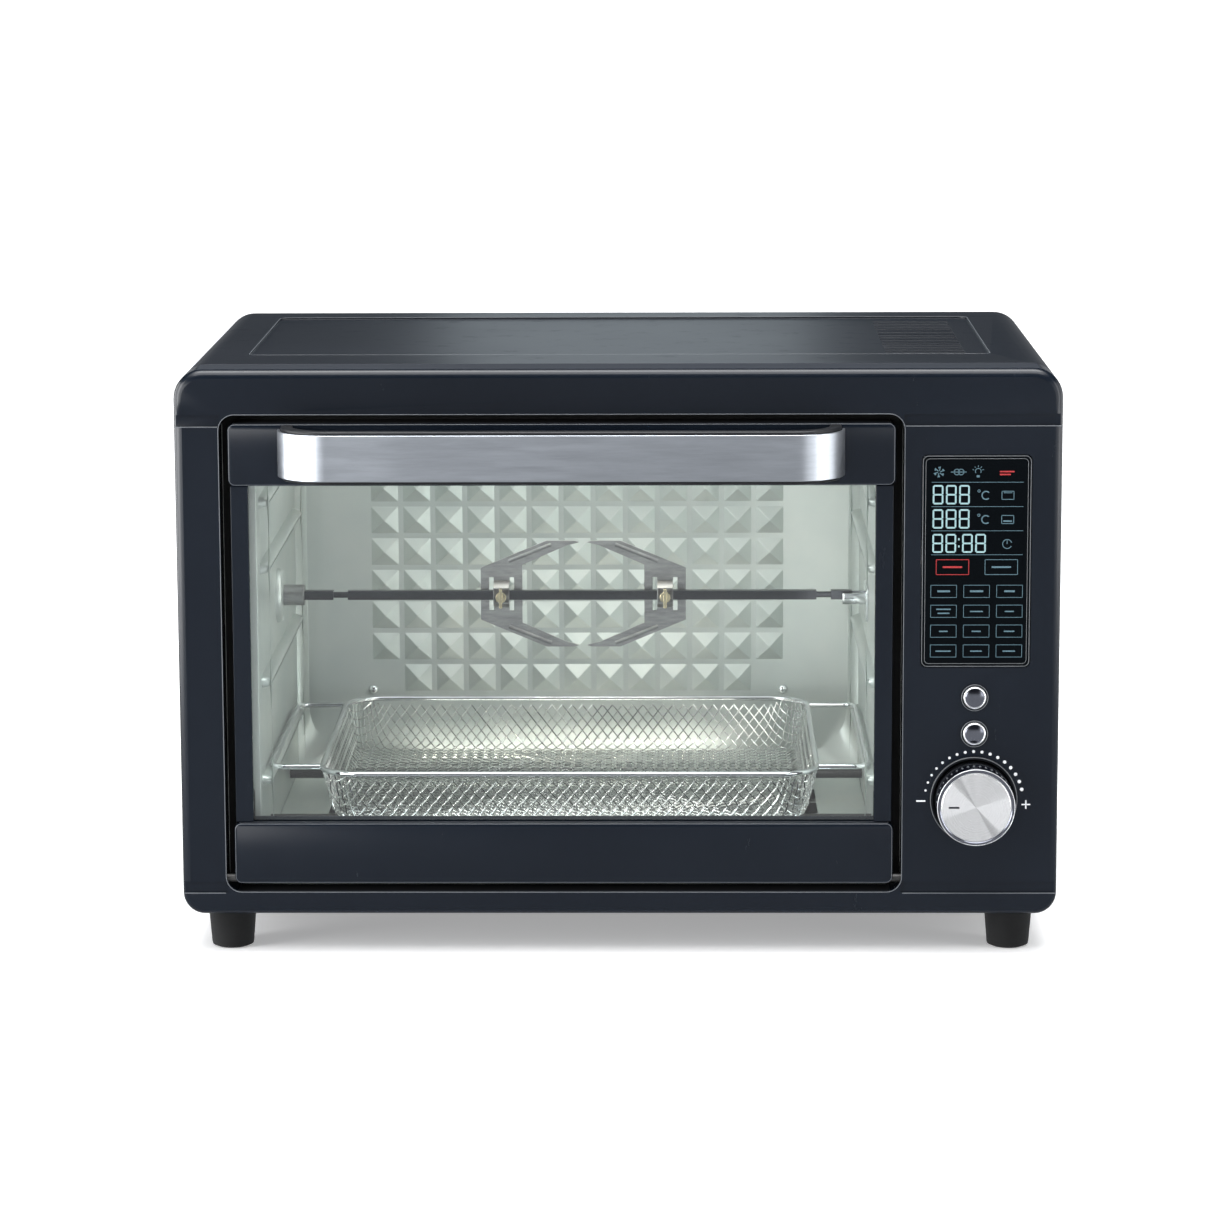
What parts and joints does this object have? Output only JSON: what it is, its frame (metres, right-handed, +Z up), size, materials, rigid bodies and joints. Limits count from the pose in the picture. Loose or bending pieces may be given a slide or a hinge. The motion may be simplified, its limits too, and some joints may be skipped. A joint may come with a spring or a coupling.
{
  "type": "rotisserie oven",
  "caption": "Countertop rotisserie oven: drop-down glass door with bow handle, turning spit with two forks, wire basket, control panel with display, push buttons and a press-and-turn knob.",
  "frame": {"origin": "centre of the bounding box in plan, on the surface that the feet stand on", "axes": "+X to the right seen from the front, +Y from the front to the rear, +Z up"},
  "size_m": [0.52, 0.37, 0.3508],
  "materials": {
    "navy_paint": "satin navy-black powder paint",
    "navy_gloss": "glossy navy-black",
    "oven_glass": "clear tempered glass",
    "display_black": "glossy black window",
    "enamel": "satin sage-grey enamel",
    "brushed_steel": "brushed",
    "spun_aluminium": "spun",
    "chrome_wire": "polished wire",
    "chrome_plate": "polished",
    "dark_steel": "darkened by heat",
    "rubber_feet": "matte",
    "black_plastic": "fine texture",
    "circuit_board": "solder mask",
    "screw_brass": "nickel over brass",
    "motor_case": "satin"
  },
  "bodies": {
    "housing": {"outer_cover": "navy_paint", "base_pan": "navy_paint", "rear_cover": "navy_paint", "front_fascia": "navy_gloss", "lamp_lens": "oven_glass", "lamp_bulb": "oven_glass", "display_window": "display_black", "cavity_left_wall": "enamel", "cavity_right_wall": "enamel", "cavity_top": "enamel", "cavity_floor": "enamel", "cavity_back": "enamel", "cavity_front_frame": "enamel", "spit_hook": "brushed_steel", "lamp_holder": "brushed_steel", "back_screw_left": "chrome_plate", "back_screw_right": "chrome_plate", "hinge_pin_left": "chrome_plate", "hinge_pin_right": "chrome_plate", "heater_upper_front": "dark_steel", "heater_upper_rear": "dark_steel", "heater_lower_front": "dark_steel", "heater_lower_rear": "dark_steel", "foot_front_left": "rubber_feet", "foot_front_right": "rubber_feet", "foot_rear_left": "rubber_feet", "foot_rear_right": "rubber_feet", "button_bezel_upper": "black_plastic", "button_bezel_lower": "black_plastic", "knob_well": "black_plastic", "cord_gland": "black_plastic", "encoder_body": "black_plastic", "display_board": "circuit_board", "power_board": "circuit_board", "fan_motor": "motor_case", "rotisserie_motor": "motor_case"},
    "door": {"door_top_rail": "navy_gloss", "door_bottom_rail": "navy_gloss", "door_left_stile": "navy_gloss", "door_right_stile": "navy_gloss", "door_glass": "oven_glass", "handle_backing": "black_plastic", "handle_strip": "brushed_steel"},
    "encoder": {"encoder_plunger": "black_plastic"},
    "knob": {"knob_shaft": "spun_aluminium", "knob_skirt": "spun_aluminium", "knob_disc": "spun_aluminium"},
    "button_a": {"button_upper": "chrome_plate"},
    "button_b": {"button_lower": "chrome_plate"},
    "spit": {"spit_rod": "dark_steel", "drive_socket": "brushed_steel"},
    "fork_a": {"fork_left": "brushed_steel"},
    "fork_b": {"fork_right": "brushed_steel"},
    "screw_a": {"thumb_screw_left": "screw_brass"},
    "screw_b": {"thumb_screw_right": "screw_brass"},
    "fan": {"fan_blade": "spun_aluminium"},
    "basket": {"basket_mesh": "chrome_wire", "basket_frame": "chrome_wire"}
  },
  "joints": [
    {"name": "door_hinge", "type": "hinge", "parent": "housing", "child": "door", "pos_m": [-0.033, -0.144, 0.046], "axis": [1, 0, 0], "range_deg": [0, 90]},
    {"name": "basket_slide", "type": "slide", "parent": "housing", "child": "basket", "axis": [0, -1, 0], "range_m": [0, 0.064]},
    {"name": "knob_press", "type": "slide", "parent": "housing", "child": "encoder", "axis": [0, 1, 0], "range_m": [0, 0.0015], "stiffness_N_per_m": 600},
    {"name": "knob_turn", "type": "hinge", "parent": "encoder", "child": "knob", "pos_m": [0.21, -0.149, 0.0945], "axis": [0, 1, 0], "continuous": true},
    {"name": "button_upper_press", "type": "slide", "parent": "housing", "child": "button_a", "axis": [0, 1, 0], "range_m": [0, 0.0015], "stiffness_N_per_m": 400},
    {"name": "button_lower_press", "type": "slide", "parent": "housing", "child": "button_b", "axis": [0, 1, 0], "range_m": [0, 0.0015], "stiffness_N_per_m": 400},
    {"name": "spit_spin", "type": "hinge", "parent": "housing", "child": "spit", "pos_m": [0, 0.002, 0.1923], "axis": [1, 0, 0], "continuous": true},
    {"name": "fork_left_slide", "type": "slide", "parent": "spit", "child": "fork_a", "axis": [-1, 0, 0], "range_m": [0, 0.075]},
    {"name": "fork_right_slide", "type": "slide", "parent": "spit", "child": "fork_b", "axis": [1, 0, 0], "range_m": [0, 0.075]},
    {"name": "screw_left_turn", "type": "hinge", "parent": "fork_a", "child": "screw_a", "pos_m": [-0.0747, 0.002, 0.1923], "axis": [0, 1, 0], "range_deg": [0, 720]},
    {"name": "screw_right_turn", "type": "hinge", "parent": "fork_b", "child": "screw_b", "pos_m": [0.0273, 0.002, 0.1923], "axis": [0, 1, 0], "range_deg": [0, 720]},
    {"name": "fan_spin", "type": "hinge", "parent": "housing", "child": "fan", "pos_m": [0.16, 0.067, 0.1923], "axis": [1, 0, 0], "continuous": true}
  ],
  "couplings": [
    {"joint": "basket_slide", "follows": "door_hinge", "m_per_rad": 0.04}
  ]
}
